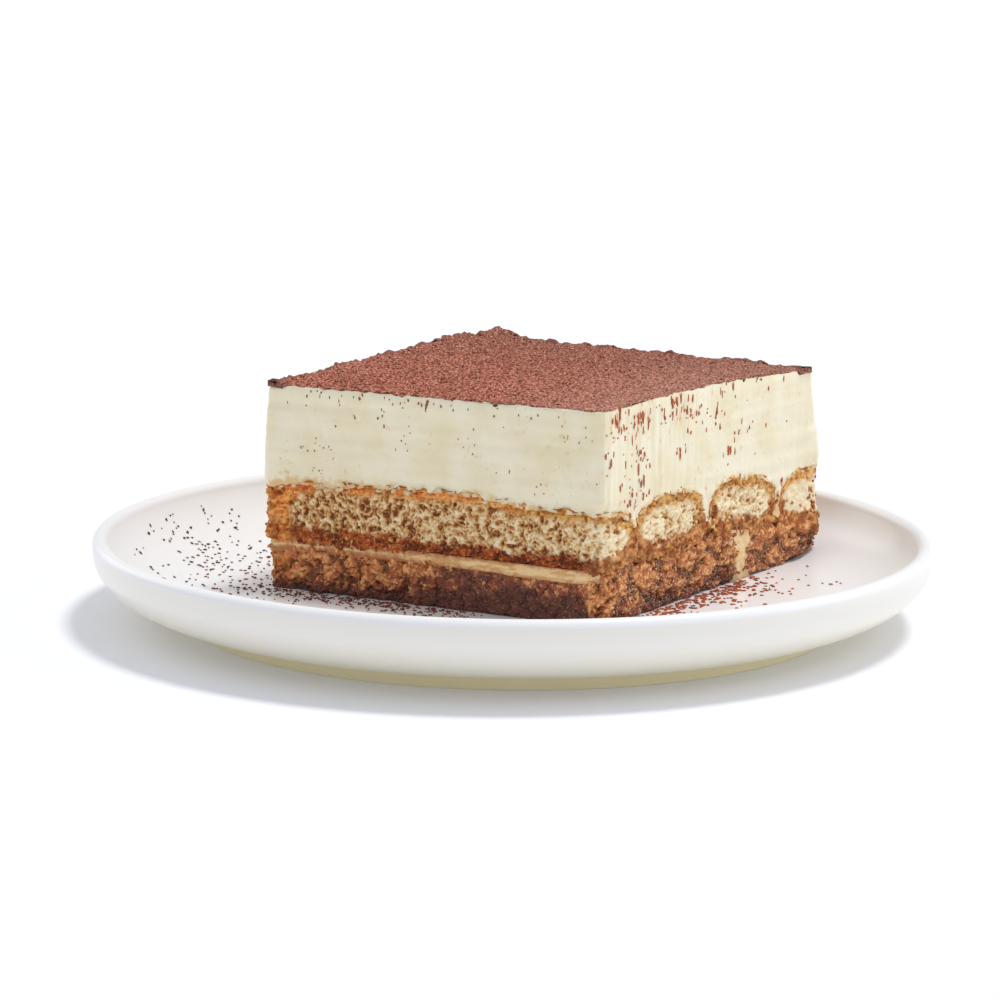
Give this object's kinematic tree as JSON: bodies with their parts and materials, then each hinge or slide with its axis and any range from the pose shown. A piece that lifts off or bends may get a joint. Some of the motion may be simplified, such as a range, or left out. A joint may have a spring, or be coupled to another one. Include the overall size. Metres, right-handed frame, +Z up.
{
  "type": "tiramisu portion on a plate",
  "caption": "Square cut portion of tiramisu with sponge fingers, two layers of cream and a cocoa top, resting in a round coupe dessert plate.",
  "frame": {"origin": "middle of the plate at the level of its foot ring", "axes": "+Z up, +X along the sponge fingers toward the end where they are cut across, -Y out of the long side where one finger is cut lengthwise"},
  "size_m": [0.175, 0.175, 0.0512],
  "materials": {
    "porcelain": "glossy clear glaze over white porcelain, warmer and unglazed toward the foot ring",
    "cocoa": "matte sifted cocoa powder, reddish brown, grainy",
    "cream": "pale ivory mascarpone cream, soft satin, knife-smoothed",
    "soaked_cream": "cream tinted tan by coffee, moist satin",
    "sponge": "open pale crumb with a golden-brown crust and a coffee-brown underside, matte",
    "soaked_sponge": "coffee-soaked dark brown crumb, moist and glistening"
  },
  "bodies": {
    "root": {"plate": "porcelain", "cocoa_layer": "cocoa", "cream_top": "cream", "cream_middle": "soaked_cream", "finger_upper_1": "sponge", "finger_upper_2": "sponge", "finger_upper_3": "sponge", "finger_upper_4": "sponge", "finger_lower_1": "soaked_sponge", "finger_lower_2": "soaked_sponge", "finger_lower_3": "soaked_sponge"}
  },
  "joints": []
}
